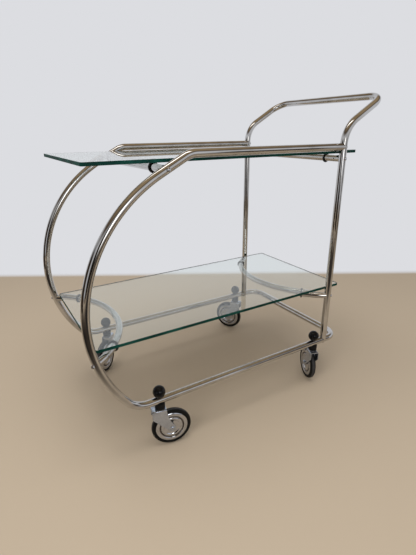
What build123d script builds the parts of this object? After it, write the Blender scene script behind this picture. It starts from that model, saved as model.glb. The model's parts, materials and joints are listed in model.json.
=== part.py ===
from build123d import *
import os
from math import asin, atan2, cos, degrees, hypot, radians, sin, sqrt, tan

# A serving trolley of bent chrome tube with two glass shelves on swivel casters.
# Millimetres and degrees. X runs from the front arch to the handle, Y from left to right
# of whoever pushes it, Z up from the floor. The origin is on the floor, midway along it.

# Bent frame tube
tube_d = 20.0
tube_wall = 1.5
frame_w = 440.0  # between the axes of the two side tubes
rail_rise = 600.0  # bottom rail's axis to top rail's axis
rail_run = 466.0  # top rail's straight, from the upright's axis to the knee
knee_r = 55.0  # bend where the top rail dips towards the arch
knee_turn = 28.0
slope_run = 72.0  # straight between the knee and the arch
arch_turn = 100.0  # the large front arch, whose radius closes the side loop
heel_r = 68.0  # bend from the arch into the bottom rail
corner_r = 45.0  # plan bend from the bottom rail into the rear bar
rear_run = 63.0  # upright's axis to rear bar's axis
sleeve_l = 80.0  # tube joint inside the rear bar

# Uprights and push handle, one bent tube
arm_height = 650.0  # where the arm's line meets the upright's axis, above the bottom rail
arm_pitch = 30.0  # rise of the arm above the horizontal
arm_reach = 145.0  # upright's axis to handle bar's axis
arm_bend_r = 75.0
handle_corner_r = 48.0

# Shelf supports: straight cross tubes above, bowed tubes below
support_d = 18.0
support_wall = 1.5
bow_depth = 115.0  # how far a bow stands in from the line between its ends
lower_rise = 156.0  # bottom rail's axis to the bows' axes
vent_d = 4.0  # small drain hole near each end of the straight tubes
vent_inset = 13.0  # from the side tube's face

# Rubber rings that the panes lie on
ring_cord = 4.0
upper_front_ring_inset = 69.0  # in from the side tubes' axes
upper_rear_ring_inset = 60.0
lower_ring_inset = 55.0

# Glass panes
glass_t = 8.0
glass_gap = 12.0  # to the side tubes
glass_arris = 0.6
glass_corner_r = 7.0
upper_front_overhang = 172.0  # past the front cross tube's axis
upper_rear_overhang = 82.0  # past the uprights' axes
lower_front_inset = 7.0  # behind the front bow's ends
lower_rear_overhang = 70.0

# Round-head screws and the threaded plugs that they pull up
screw_d = 6.0
screw_grip = 14.0  # thread inside the plug
head_d = 10.0
head_h = 3.6
plug_l = 20.0
plug_setback = 2.0  # from the side tube's face

# Casters
wheel_d = 107.0
tyre_w = 18.5
tyre_t = 10.0  # tread to rim
shoulder = 6.0  # crown of the rounded tread
trail = 27.5  # stem's axis to axle
fork_rise = 63.0  # axle to the top of the fork
fork_t = 2.0
fork_side_gap = 1.8  # tyre to cheek
fork_bend_r = 3.2
fork_lead = 23.0  # top plate ahead of the stem
fork_tail = 15.0  # top plate behind the stem
fork_lead_drop = 24.5  # depth of the cheek's leading edge
fork_eye_r = 10.0  # rounded end of the cheek round the axle
fork_scoop = 4.5  # hollow of the cheek's trailing edge
axle_d = 8.0
rivet_d = 13.0
rivet_h = 3.0
bush_wall = 2.0
hub_d = 18.0
hub_side_gap = 0.5
web_t = 4.0
rim_t = 3.5
rim_w = 13.4
cap_t = 0.8
cap_inset = 0.4  # hubcap's edge inside the rim
cap_ring_w = 10.0  # outer ring of the hubcap
cap_ring_h = 1.6
cap_groove_w = 3.6  # dark groove between the hubcap's two rings
cap_groove_h = 1.6
cap_boss_w = 8.5  # inner ring of the hubcap
cap_boss_h = 1.9
cap_dish_h = 0.9  # hollow round the hub
cap_flat = 0.4  # share of a pressed ring's width that lies flat
stem_d = 10.0
stem_head_d = 16.0
stem_head_h = 3.0
stem_head_bevel = 1.0
race_d = 23.0
race_t = 1.5
housing_d = 27.0
housing_h = 14.0  # swivel race to the rail's underside
housing_edge_r = 1.5
housing_lap = 5.0  # how far the housing climbs the rail's sides
ball_d = 33.0
ball_sink = 1.5  # how far the ball's saddle sits down over the rail
ball_neck_d = 14.0
front_stem_inset = 28.5  # behind the heel bend
rear_stem_inset = 44.0  # ahead of the upright's axis
swivel_turn = {"front_left": -12.0, "rear_left": 66.0, "front_right": -134.0, "rear_right": 124.0}

# Clearances
butt_gap = 0.05  # between curved faces of one rigid assembly
run_gap = 0.05  # radial play of a shaft in its hole
screw_gap = 0.3  # radial play of a screw through a tube wall

os.makedirs("parts", exist_ok=True)

# Heights and places that follow from those sizes
tube_r = tube_d / 2
support_r = support_d / 2
half_w = frame_w / 2
axle_z = wheel_d / 2
fork_top = axle_z + fork_rise
base_z = fork_top + race_t + housing_h + tube_r
top_z = base_z + rail_rise
lower_z = base_z + lower_rise
upper_glass_z = top_z - tube_r - glass_t  # upper pane's face is level with the rails' undersides
upper_z = upper_glass_z - ring_cord - support_r
lower_glass_z = lower_z + support_r + ring_cord
glass_w = frame_w - tube_d - 2 * glass_gap

heel_turn = 180 - knee_turn - arch_turn
dip = radians(knee_turn)
tuck = radians(knee_turn + arch_turn)
bends_drop = knee_r * (1 - cos(dip)) + slope_run * sin(dip) + heel_r * (1 + cos(tuck))
arch_r = (rail_rise - bends_drop) / (cos(dip) - cos(tuck))
front_reach = rail_run + knee_r * sin(dip) + slope_run * cos(dip) + arch_r * (1 - sin(dip))
up_x = (front_reach - arm_reach) / 2
rear_x = up_x + rear_run

left_plane = Plane.XZ.offset(half_w)  # upright plane through the left side tube's axis
base_plane = Plane.XY.offset(base_z)
mid_plane = Plane.XZ
cut_over = 4 * tube_d  # length of a cutting rod, more than any tube that it crosses

# Side tube's line: top rail, front arch, bottom rail and half of the rear bar
with BuildLine(left_plane) as side_profile:
    rail = Line((up_x, top_z), (up_x - rail_run, top_z))
    knee = JernArc(rail @ 1, rail % 1, knee_r, knee_turn)
    slope = Line(knee @ 1, knee @ 1 + (knee % 1) * slope_run)
    arch = JernArc(slope @ 1, slope % 1, arch_r, arch_turn)
    heel = JernArc(arch @ 1, arch % 1, heel_r, heel_turn)
    base = Line(heel @ 1, (rear_x - corner_r, base_z))
with BuildLine(base_plane) as side_plan:
    corner = JernArc(base @ 1, base % 1, corner_r, 90)
    Line(corner @ 1, (rear_x, 0))

# Where the supports, screws and stems meet the frame, on the left side
cross_front = slope @ (((slope @ 0).Z - upper_z) / ((slope @ 0).Z - (slope @ 1).Z))
cross_rear = Vector(up_x, -half_w, upper_z)
arch_center = arch.arc_center
bow_front_x = arch_center.X - sqrt(arch_r**2 - (lower_z - arch_center.Z) ** 2)
bow_front = Vector(bow_front_x, -half_w, lower_z)
bow_rear = Vector(up_x, -half_w, lower_z)
foot = Vector(up_x, -half_w, base_z)
rail_end = Vector(up_x, -half_w, top_z)
front_stem_x = (heel @ 1).X + front_stem_inset
rear_stem_x = up_x - rear_stem_inset

bow_r = (half_w**2 + bow_depth**2) / (2 * bow_depth)
bow_half_turn = degrees(asin(half_w / bow_r))
front_bow_way = Vector(0, 1, 0).rotate(Axis.Z, -bow_half_turn)
rear_bow_way = Vector(0, 1, 0).rotate(Axis.Z, bow_half_turn)

# The way that each screw drives, through the axis of the frame tube that it crosses
rail_screw = Axis(rail_end, (-1, 0, 0))
foot_screw = Axis(foot, (0, 0, 1))
cross_front_screw = Axis(cross_front, (0, 1, 0))
cross_rear_screw = Axis(cross_rear, (0, 1, 0))
bow_front_screw = Axis(bow_front, front_bow_way)
bow_rear_screw = Axis(bow_rear, rear_bow_way)


def rod(axis, length, radius):
    """A solid rod centred on an axis point, for cutting holes and saddles."""
    with BuildPart() as cutter:
        with BuildSketch(Plane(axis.position, z_dir=axis.direction)):
            Circle(radius)
        extrude(amount=length / 2, both=True)
    return cutter.part


def drill(axis):
    """The hole that a screw needs through both walls of a frame tube."""
    return rod(axis, cut_over, screw_d / 2 + screw_gap)


upright_rod = rod(Axis(rail_end, (0, 0, 1)), 2 * (top_z - base_z), tube_r + butt_gap)
base_rod = rod(Axis(foot, (1, 0, 0)), cut_over, tube_r + butt_gap)
slope_rod = rod(Axis(cross_front, slope % 0), cut_over, tube_r + butt_gap)

with BuildPart() as left_side_tube:
    with BuildSketch(Plane(rail @ 0, z_dir=rail % 0)):
        Circle(tube_r)
        Circle(tube_r - tube_wall, mode=Mode.SUBTRACT)
    sweep(path=side_profile.edges() + side_plan.edges())
    add(rod(Axis(rail_end, (0, 0, 1)), cut_over, tube_r + butt_gap), mode=Mode.SUBTRACT)
    for axis in (foot_screw, cross_front_screw, bow_front_screw):
        add(drill(axis), mode=Mode.SUBTRACT)
    with BuildSketch(base_plane):
        with Locations((front_stem_x, -half_w), (rear_stem_x, -half_w)):
            Circle(stem_d / 2 + run_gap)
    extrude(amount=tube_d, both=True, mode=Mode.SUBTRACT)

with BuildPart() as right_side_tube:
    mirror(left_side_tube.part, about=mid_plane)

with BuildPart() as rear_bar_sleeve:
    with BuildSketch(Plane((rear_x, 0, base_z), z_dir=(0, 1, 0))):
        Circle(tube_r - tube_wall - butt_gap)
        Circle(tube_r - 2 * tube_wall - butt_gap, mode=Mode.SUBTRACT)
    extrude(amount=sleeve_l / 2, both=True)

# Uprights, arms and handle bar: one tube, bent twice on each side
arm_way = Vector(cos(radians(arm_pitch)), 0, sin(radians(arm_pitch)))
arm_bend_turn = 90 - arm_pitch
elbow_z = base_z + arm_height - arm_bend_r * tan(radians(arm_bend_turn / 2))
handle_end = Vector(up_x, -half_w, base_z + arm_height) + arm_way * (arm_reach / arm_way.X)
arm_plane = Plane(handle_end, x_dir=arm_way, z_dir=arm_way.cross(Vector(0, 1, 0)))

with BuildLine(left_plane) as arm_profile:
    upright = Line((up_x, base_z), (up_x, elbow_z))
    elbow = JernArc(upright @ 1, upright % 1, arm_bend_r, -arm_bend_turn)
    arm = Line(elbow @ 1, handle_end - arm_way * handle_corner_r)
with BuildLine(arm_plane) as handle_plan:
    grip_corner = JernArc(arm @ 1, arm % 1, handle_corner_r, 90)
    Line(grip_corner @ 1, Vector(handle_end.X, 0, handle_end.Z))

with BuildPart() as handle_frame:
    with BuildSketch(Plane(upright @ 0, z_dir=upright % 0)):
        Circle(tube_r)
        Circle(tube_r - tube_wall, mode=Mode.SUBTRACT)
    sweep(path=arm_profile.edges() + handle_plan.edges())
    add(base_rod, mode=Mode.SUBTRACT)
    for axis in (rail_screw, cross_rear_screw, bow_rear_screw):
        add(drill(axis), mode=Mode.SUBTRACT)
    mirror(about=mid_plane)


def cross_tube(end, saddle_rod):
    """A straight support from side tube to side tube, saddled on both."""
    with BuildPart() as tube:
        with BuildSketch(Plane(end, z_dir=(0, 1, 0))):
            Circle(support_r)
            Circle(support_r - support_wall, mode=Mode.SUBTRACT)
        extrude(amount=half_w)
        add(saddle_rod, mode=Mode.SUBTRACT)
        vent_y = end.Y + tube_r + vent_inset
        with BuildSketch(Plane((end.X, vent_y, end.Z), z_dir=(-1, 0, 0))):
            Circle(vent_d / 2)
        extrude(amount=support_d, mode=Mode.SUBTRACT)
        mirror(about=mid_plane)
    return tube


upper_front_cross_tube = cross_tube(cross_front, slope_rod)
upper_rear_cross_tube = cross_tube(cross_rear, upright_rod)


def bow_line(end, way, turn):
    """A bow's axis from its left end to its middle, on the lower support plane."""
    with BuildLine(Plane.XY.offset(lower_z)) as line:
        JernArc(end, way, bow_r, turn)
    return line.edge()


front_bow_axis = bow_line(bow_front, front_bow_way, bow_half_turn)
rear_bow_axis = bow_line(bow_rear, rear_bow_way, -bow_half_turn)

with BuildPart() as arch_rod:
    with BuildSketch(Plane(arch @ 0, z_dir=arch % 0)):
        Circle(tube_r + butt_gap)
    sweep(path=arch)


def bow_tube(axis_line, saddle_rod):
    """A bowed support, saddled on the two tubes that it joins."""
    with BuildPart() as tube:
        with BuildSketch(Plane(axis_line @ 0, z_dir=axis_line % 0)):
            Circle(support_r)
            Circle(support_r - support_wall, mode=Mode.SUBTRACT)
        sweep(path=axis_line)
        add(saddle_rod, mode=Mode.SUBTRACT)
        mirror(about=mid_plane)
    return tube


lower_front_bow = bow_tube(front_bow_axis, arch_rod.part)
lower_rear_bow = bow_tube(rear_bow_axis, upright_rod)


def on_bow(axis_line, inset):
    """The plane across a bow at a distance in from the side tubes."""
    share = 1 - degrees(asin((half_w - inset) / bow_r)) / bow_half_turn
    return Plane(axis_line @ share, z_dir=axis_line % share)


def ring_set(*places):
    """Rubber rings stretched over the supports, with their mirror images."""
    with BuildPart() as rings:
        with Locations(*places):
            Torus(support_r + ring_cord / 2, ring_cord / 2)
        mirror(about=mid_plane)
    return rings


upper_rings = ring_set(
    Plane(cross_front + Vector(0, upper_front_ring_inset, 0), z_dir=(0, 1, 0)),
    Plane(cross_rear + Vector(0, upper_rear_ring_inset, 0), z_dir=(0, 1, 0)),
)
lower_rings = ring_set(
    on_bow(front_bow_axis, lower_ring_inset),
    on_bow(rear_bow_axis, lower_ring_inset),
)


def pane(front, rear, z):
    """A glass shelf with ground edges, lying on its rings."""
    with BuildPart() as glass:
        with BuildSketch(Plane(((front + rear) / 2, 0, z))):
            RectangleRounded(rear - front, glass_w, glass_corner_r)
        extrude(amount=glass_t)
        chamfer(glass.faces().filter_by(Axis.Z).edges(), glass_arris)
    return glass


upper_front = cross_front.X - upper_front_overhang
upper_rear = up_x + upper_rear_overhang
lower_front = bow_front.X + lower_front_inset
lower_rear = up_x + lower_rear_overhang
top_glass = pane(upper_front, upper_rear, upper_glass_z)
lower_glass = pane(lower_front, lower_rear, lower_glass_z)


def round_screw(seat):
    """A round-head screw, its head this far outside the axis of the frame tube that it crosses."""
    with BuildPart() as screw:
        with BuildSketch(Plane.XZ):
            with BuildLine():
                tip = tube_r + plug_setback + screw_grip
                shank = Polyline(
                    (head_d / 2, -seat),
                    (screw_d / 2, -seat),
                    (screw_d / 2, tip),
                    (0, tip),
                    (0, -seat - head_h),
                )
                TangentArc(shank @ 1, shank @ 0, tangent=(1, 0))
            make_face()
        revolve(axis=Axis.Z)
    return screw.part


def screw_set(*places):
    """Screws on these axes, each with its head's seat, and their mirror images."""
    with BuildPart() as screws:
        for axis, seat in places:
            with Locations(Plane(axis.position, z_dir=axis.direction)):
                add(round_screw(seat))
        mirror(about=mid_plane)
    return screws


# The arch leans under the front bow's screw, so that head bears on one edge
arch_lean = abs((arch % arch.param_at_point(bow_front)).dot(front_bow_way))
lean_seat = (tube_r + head_d / 2 * arch_lean) / sqrt(1 - arch_lean**2)

rail_screws = screw_set((rail_screw, tube_r))
foot_screws = screw_set((foot_screw, tube_r))
cross_tube_screws = screw_set((cross_front_screw, tube_r), (cross_rear_screw, tube_r))
bow_screws = screw_set((bow_front_screw, lean_seat), (bow_rear_screw, tube_r))


def plug_set(bore_r, *axes):
    """Threaded plugs inside tube ends, for the screws on these axes."""
    with BuildPart() as plugs:
        for axis in axes:
            start = axis.position + axis.direction * (tube_r + plug_setback)
            with BuildSketch(Plane(start, z_dir=axis.direction)):
                Circle(bore_r - butt_gap)
                Circle(screw_d / 2 + butt_gap, mode=Mode.SUBTRACT)
            extrude(amount=plug_l)
        mirror(about=mid_plane)
    return plugs


frame_plugs = plug_set(tube_r - tube_wall, rail_screw, foot_screw)
cross_tube_plugs = plug_set(support_r - support_wall, cross_front_screw, cross_rear_screw)

# The bows' plugs are curved like the tube that they sit in
with BuildPart() as bow_plugs:
    for axis_line, axis in ((front_bow_axis, bow_front_screw), (rear_bow_axis, bow_rear_screw)):
        first = (tube_r + plug_setback) / axis_line.length
        plug_line = axis_line.trim(first, first + plug_l / axis_line.length)
        with BuildSketch(Plane(plug_line @ 0, z_dir=plug_line % 0)):
            Circle(support_r - support_wall - butt_gap)
        sweep(path=plug_line)
        add(rod(axis, cut_over, screw_d / 2 + butt_gap), mode=Mode.SUBTRACT)
    mirror(about=mid_plane)


def caster(stem_x, stem_y, angle):
    """One swivel caster, its wheel trailing at this angle from the X axis."""
    u = Vector(1, 0, 0).rotate(Axis.Z, angle)  # from the stem towards the axle
    n = Vector(0, 1, 0).rotate(Axis.Z, angle)  # along the axle
    floor_point = Vector(stem_x, stem_y, 0)
    centre = floor_point + u * trail + Vector(0, 0, axle_z)
    stem_axis = Axis(floor_point, (0, 0, 1))
    axle_axis = Axis(centre, n)
    stem_section = Plane(floor_point, x_dir=u, z_dir=n * -1)
    wheel_section = Plane(centre, x_dir=n, z_dir=u)
    rail_axis = Axis(floor_point + Vector(0, 0, base_z), (1, 0, 0))
    rail_rod = rod(rail_axis, cut_over, tube_r + butt_gap)
    half_gap = tyre_w / 2 + fork_side_gap
    half_fork = half_gap + fork_t
    plate_under = fork_top - fork_t
    ball_z = base_z + tube_r + ball_d / 2 - ball_sink
    rim_r = wheel_d / 2 - tyre_t
    bush_r = axle_d / 2 + bush_wall
    hub_r = hub_d / 2

    with BuildPart() as ball_knob:
        with BuildSketch(stem_section):
            with BuildLine():
                neck_r = ball_neck_d / 2
                neck_z = ball_z - sqrt((ball_d / 2) ** 2 - neck_r**2)
                crown = ball_z + ball_d / 2
                neck = Polyline((0, crown), (0, base_z), (neck_r, base_z), (neck_r, neck_z))
                ThreePointArc(neck @ 1, (ball_d / 2, ball_z), neck @ 0)
            make_face()
        revolve(axis=stem_axis)
        add(rail_rod, mode=Mode.SUBTRACT)
        with BuildSketch(base_plane):
            with Locations((stem_x, stem_y)):
                Circle(stem_d / 2 + butt_gap)
        extrude(amount=ball_z + butt_gap - base_z, mode=Mode.SUBTRACT)

    # King pin: riveted under the fork, clamped through the rail by the ball knob
    with BuildPart() as stem:
        with BuildSketch(stem_section):
            with BuildLine():
                Polyline(
                    (0, plate_under - stem_head_h),
                    (stem_head_d / 2, plate_under - stem_head_h),
                    (stem_head_d / 2, plate_under),
                    (stem_d / 2, plate_under),
                    (stem_d / 2, ball_z),
                    (0, ball_z),
                    close=True,
                )
            make_face()
        revolve(axis=stem_axis)
        chamfer(stem.faces().sort_by(Axis.Z)[0].edges(), stem_head_bevel)

    with BuildPart() as stem_housing:
        with BuildSketch(Plane.XY.offset(fork_top + race_t)):
            with Locations((stem_x, stem_y)):
                Circle(housing_d / 2)
                Circle(stem_d / 2 + butt_gap, mode=Mode.SUBTRACT)
        extrude(amount=housing_h + housing_lap)
        fillet(stem_housing.faces().sort_by(Axis.Z)[0].outer_wire().edges(), housing_edge_r)
        add(rail_rod, mode=Mode.SUBTRACT)

    with BuildPart() as swivel_race:
        with BuildSketch(Plane.XY.offset(fork_top)):
            with Locations((stem_x, stem_y)):
                Circle(race_d / 2)
                Circle(stem_d / 2 + run_gap, mode=Mode.SUBTRACT)
        extrude(amount=race_t)

    # Pressed fork: a plate bent to an inverted U and trimmed to the outline of its cheeks
    with BuildPart() as fork:
        with BuildSketch(Plane(floor_point - u * fork_lead, x_dir=n, z_dir=u)):
            with Locations((0, fork_top)):
                Rectangle(2 * half_fork, fork_top, align=(Align.CENTER, Align.MAX))
            fillet(vertices().group_by(Axis.Y)[-1], fork_bend_r)
            with Locations((0, plate_under)):
                Rectangle(2 * half_gap, fork_top, align=(Align.CENTER, Align.MAX), mode=Mode.SUBTRACT)
        extrude(amount=fork_lead + trail + fork_eye_r)
        with BuildSketch(stem_section):
            with BuildLine():
                lead_low = fork_top - fork_lead_drop
                reach = hypot(trail + fork_lead, lead_low - axle_z)
                heading = atan2(axle_z - lead_low, trail + fork_lead) - asin(fork_eye_r / reach)
                edge = Polyline(
                    (fork_tail, fork_top),
                    (-fork_lead, fork_top),
                    (-fork_lead, lead_low),
                    (trail + fork_eye_r * sin(heading), axle_z - fork_eye_r * cos(heading)),
                )
                eye_side = fork_eye_r * cos(radians(45))
                eye = ThreePointArc(
                    edge @ 1,
                    (trail + eye_side, axle_z - eye_side),
                    (trail + eye_side, axle_z + eye_side),
                )
                SagittaArc(eye @ 1, edge @ 0, fork_scoop)
            make_face()
        extrude(amount=half_fork, both=True, mode=Mode.INTERSECT)
        with BuildSketch(Plane.XY.offset(fork_top)):
            with Locations((stem_x, stem_y)):
                Circle(stem_d / 2 + run_gap)
        extrude(amount=-2 * fork_t, mode=Mode.SUBTRACT)
        add(rod(axle_axis, cut_over, axle_d / 2 + butt_gap), mode=Mode.SUBTRACT)

    with BuildPart() as axle:
        with BuildSketch(wheel_section):
            with BuildLine():
                end = half_fork + rivet_h
                core = Line((-end, 0), (end, 0))
                dome = TangentArc(core @ 1, (half_fork, rivet_d / 2), tangent=(0, 1))
                waist = Polyline(
                    dome @ 1,
                    (half_fork, axle_d / 2),
                    (-half_fork, axle_d / 2),
                    (-half_fork, rivet_d / 2),
                )
                TangentArc(core @ 0, waist @ 1, tangent=(0, 1))
            make_face()
        revolve(axis=axle_axis)

    with BuildPart() as axle_bush:
        with BuildSketch(Plane(centre, z_dir=n)):
            Circle(bush_r)
            Circle(axle_d / 2 + butt_gap, mode=Mode.SUBTRACT)
        extrude(amount=half_gap, both=True)

    with BuildPart() as wheel_core:
        with BuildSketch(wheel_section):
            with BuildLine():
                hub_end = half_gap - hub_side_gap
                Polyline(
                    (0, bush_r + run_gap),
                    (hub_end, bush_r + run_gap),
                    (hub_end, hub_r),
                    (web_t / 2, hub_r),
                    (web_t / 2, rim_r - rim_t),
                    (rim_w / 2, rim_r - rim_t),
                    (rim_w / 2, rim_r),
                    (0, rim_r),
                    close=True,
                )
            make_face()
            mirror(about=Plane.YZ)
        revolve(axis=axle_axis)

    with BuildPart() as tyre:
        with BuildSketch(wheel_section):
            with BuildLine():
                seat_r = rim_r + butt_gap
                shoulder_r = wheel_d / 2 - shoulder
                bead = Polyline(
                    (-tyre_w / 2, shoulder_r),
                    (-rim_w / 2, seat_r),
                    (rim_w / 2, seat_r),
                    (tyre_w / 2, shoulder_r),
                )
                ThreePointArc(bead @ 0, (0, wheel_d / 2), bead @ 1)
            make_face()
        revolve(axis=axle_axis)

    # Pressed hubcaps: an outer ring, a groove, an inner ring and a shallow dish round the hub
    cap_x = rim_w / 2 + butt_gap
    cap_radii = [rim_r - cap_inset]
    for width in (cap_ring_w, cap_groove_w, cap_boss_w):
        cap_radii.append(cap_radii[-1] - width)
    cap_radii.append(hub_r + butt_gap)
    cap_swells = (cap_ring_h, -cap_groove_h, cap_boss_h, -cap_dish_h)
    with BuildPart() as hubcaps:
        with BuildSketch(wheel_section):
            with BuildLine():
                for x in (cap_x, cap_x + cap_t):
                    face = [(x, cap_radii[0])]
                    for outer, inner, swell in zip(cap_radii, cap_radii[1:], cap_swells):
                        slant = (outer - inner) * (1 - cap_flat) / 2
                        face += [(x + swell, outer - slant), (x + swell, inner + slant), (x, inner)]
                    Polyline(*face)
                Line((cap_x, cap_radii[0]), (cap_x + cap_t, cap_radii[0]))
                Line((cap_x, cap_radii[-1]), (cap_x + cap_t, cap_radii[-1]))
            make_face()
            mirror(about=Plane.YZ)
        revolve(axis=axle_axis)

    return {
        "ball_knob": ball_knob,
        "stem": stem,
        "stem_housing": stem_housing,
        "swivel_race": swivel_race,
        "fork": fork,
        "axle": axle,
        "axle_bush": axle_bush,
        "wheel_core": wheel_core,
        "tyre": tyre,
        "hubcaps": hubcaps,
    }


pieces = {
    "left_side_tube": left_side_tube,
    "right_side_tube": right_side_tube,
    "rear_bar_sleeve": rear_bar_sleeve,
    "handle_frame": handle_frame,
    "upper_front_cross_tube": upper_front_cross_tube,
    "upper_rear_cross_tube": upper_rear_cross_tube,
    "lower_front_bow": lower_front_bow,
    "lower_rear_bow": lower_rear_bow,
    "upper_rings": upper_rings,
    "lower_rings": lower_rings,
    "top_glass": top_glass,
    "lower_glass": lower_glass,
    "rail_screws": rail_screws,
    "foot_screws": foot_screws,
    "cross_tube_screws": cross_tube_screws,
    "bow_screws": bow_screws,
    "frame_plugs": frame_plugs,
    "cross_tube_plugs": cross_tube_plugs,
    "bow_plugs": bow_plugs,
}
for place, angle in swivel_turn.items():
    stem_x = front_stem_x if place.startswith("front") else rear_stem_x
    stem_y = -half_w if place.endswith("left") else half_w
    for piece, builder in caster(stem_x, stem_y, angle).items():
        pieces[f"{place}_{piece}"] = builder

for name, builder in pieces.items():
    builder.part.label = name
    export_step(builder.part, f"parts/{name}.step")

print(f"arch radius {arch_r:.2f}, bow radius {bow_r:.2f}, uprights at x {up_x:.3f}")
print(f"stems at x {front_stem_x:.3f} and {rear_stem_x:.3f}, y +-{half_w:.1f}, {len(pieces)} pieces")
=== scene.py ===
import bpy
import bmesh
import json
from math import asin, cos, degrees, pi, radians, sin, sqrt, tan
from mathutils import Matrix, Vector


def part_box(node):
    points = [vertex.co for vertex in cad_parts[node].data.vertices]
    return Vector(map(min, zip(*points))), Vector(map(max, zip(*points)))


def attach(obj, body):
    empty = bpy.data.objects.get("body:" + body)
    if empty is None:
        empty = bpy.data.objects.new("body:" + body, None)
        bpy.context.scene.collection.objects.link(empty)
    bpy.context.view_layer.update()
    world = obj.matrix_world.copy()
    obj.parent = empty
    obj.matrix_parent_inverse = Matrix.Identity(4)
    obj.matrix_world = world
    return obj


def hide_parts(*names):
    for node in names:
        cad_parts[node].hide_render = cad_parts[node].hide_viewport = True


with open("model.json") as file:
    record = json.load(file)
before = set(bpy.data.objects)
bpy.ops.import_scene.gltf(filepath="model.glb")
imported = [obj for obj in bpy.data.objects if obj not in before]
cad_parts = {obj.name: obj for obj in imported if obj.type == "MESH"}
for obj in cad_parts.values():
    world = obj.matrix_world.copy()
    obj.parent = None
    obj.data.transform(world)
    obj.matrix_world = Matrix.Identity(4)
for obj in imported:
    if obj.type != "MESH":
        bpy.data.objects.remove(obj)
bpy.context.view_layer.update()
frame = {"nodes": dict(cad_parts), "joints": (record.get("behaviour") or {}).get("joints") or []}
mm = 0.001  # the trolley's sizes are in millimetres, the stage's in metres
print("frame loaded:", len(frame["nodes"]), "nodes")


def hexColor(code):  # sRGB hex to linear RGBA
    parts = [int(code[i:i + 2], 16) / 255 for i in (1, 3, 5)]
    return [c / 12.92 if c <= 0.04045 else ((c + 0.055) / 1.055) ** 2.4 for c in parts] + [1]


def addNode(tree, kind, sets=(), links=()):  # sets: sockets, settings or ramp stops, links: socket to source
    node = tree.nodes.new(kind)
    for key, value in dict(sets).items():
        if key == "stops":
            ramp = node.color_ramp.elements
            for i, (position, code) in enumerate(value):
                stop = ramp[i] if i < len(ramp) else ramp.new(position)
                stop.position = position
                stop.color = hexColor(code)
        elif isinstance(key, int) or key in node.inputs:
            node.inputs[key].default_value = value
        else:
            setattr(node, key, value)
    for key, source in dict(links).items():
        tree.links.new(source, node.inputs[key])
    return node


def startMaterial(name, shaderSets):
    material = bpy.data.materials.new(name)
    material.use_nodes = True
    tree = material.node_tree
    tree.nodes.clear()
    shader = addNode(tree, "ShaderNodeBsdfPrincipled", shaderSets)
    addNode(tree, "ShaderNodeOutputMaterial", links={"Surface": shader.outputs["BSDF"]})
    place = addNode(tree, "ShaderNodeTexCoord").outputs["Object"]
    return material, tree, shader, place


def per(size):  # texture scale for a pattern of this many millimetres
    return 1 / (size * mm)


def paintMarks(tree, shader, amount, look):  # colour, and roughness where the look has it, by the marks
    stops = ((look["baseTo"], look["base"]), (look["markFrom"], look["mark"]))
    tint = addNode(tree, "ShaderNodeValToRGB", {"stops": stops}, {"Fac": amount})
    tree.links.new(tint.outputs["Color"], shader.inputs["Base Color"])
    if "roughness" in look:
        smooth, dull = look["roughness"]
        dullFrom, dullTo = look["dullBetween"]
        gloss = addNode(tree, "ShaderNodeMapRange", {
            "From Min": dullFrom, "From Max": dullTo, "To Min": smooth, "To Max": dull}, {"Value": amount})
        tree.links.new(gloss.outputs["Result"], shader.inputs["Roughness"])


grainHeight = 0.1 * mm  # of the bumps on moulded and plated faces


# A finish in patches: base and mark are its two colours, baseTo and markFrom the noise where each is pure,
# markSize the width of a patch in millimetres, breakup how ragged the patches are
def patchyFinish(name, look, shaderSets):
    material, tree, shader, place = startMaterial(name, shaderSets)
    marks = addNode(tree, "ShaderNodeTexNoise", {
        "Scale": per(look["markSize"]), "Detail": look["detail"], "Roughness": look["breakup"]},
        {"Vector": place})
    paintMarks(tree, shader, marks.outputs["Fac"], look)
    if "grain" in look:
        grain = addNode(tree, "ShaderNodeTexNoise", {
            "Scale": per(look["grain"]), "Detail": look["grainDetail"]}, {"Vector": place})
        bump = addNode(tree, "ShaderNodeBump", {
            "Strength": look["grainStrength"], "Distance": grainHeight}, {"Height": grain.outputs["Fac"]})
        tree.links.new(bump.outputs["Normal"], shader.inputs["Normal"])
    return material


# Bright chrome on drawn steel tube: mirror finish with hazy patches from cleaning
chromeLook = {"base": "#c6c5c4", "baseTo": 0.42, "mark": "#aeaba6", "markFrom": 0.72, "markSize": 60,
              "detail": 5.0, "breakup": 0.62, "roughness": (0.03, 0.1), "dullBetween": (0.45, 0.75)}
polishedChrome = patchyFinish("polishedChrome", chromeLook, {"Metallic": 1.0})

# Float glass: clear through the face, with a faint green cast and smears from wiping
glassLook = {"face": "#ffffff", "body": "#7fd8c0", "density": 9.0, "smear": 140, "detail": 2.0, "swirl": 0.8,
             "smearFrom": 0.45, "smearTo": 0.8, "haze": 0.01}
floatGlass, tree, shader, place = startMaterial("floatGlass", {
    "Base Color": hexColor(glassLook["face"]), "IOR": 1.52, "Transmission Weight": 1.0})
smear = addNode(tree, "ShaderNodeTexNoise", {
    "Scale": per(glassLook["smear"]), "Detail": glassLook["detail"], "Distortion": glassLook["swirl"]},
    {"Vector": place})
film = addNode(tree, "ShaderNodeMapRange", {
    "From Min": glassLook["smearFrom"], "From Max": glassLook["smearTo"], "To Max": glassLook["haze"]},
    {"Value": smear.outputs["Fac"]})
tree.links.new(film.outputs["Result"], shader.inputs["Roughness"])
body = addNode(tree, "ShaderNodeVolumeAbsorption", {
    "Color": hexColor(glassLook["body"]), "Density": glassLook["density"]})
tree.links.new(body.outputs["Volume"], tree.get_output_node("ALL").inputs["Volume"])

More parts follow.
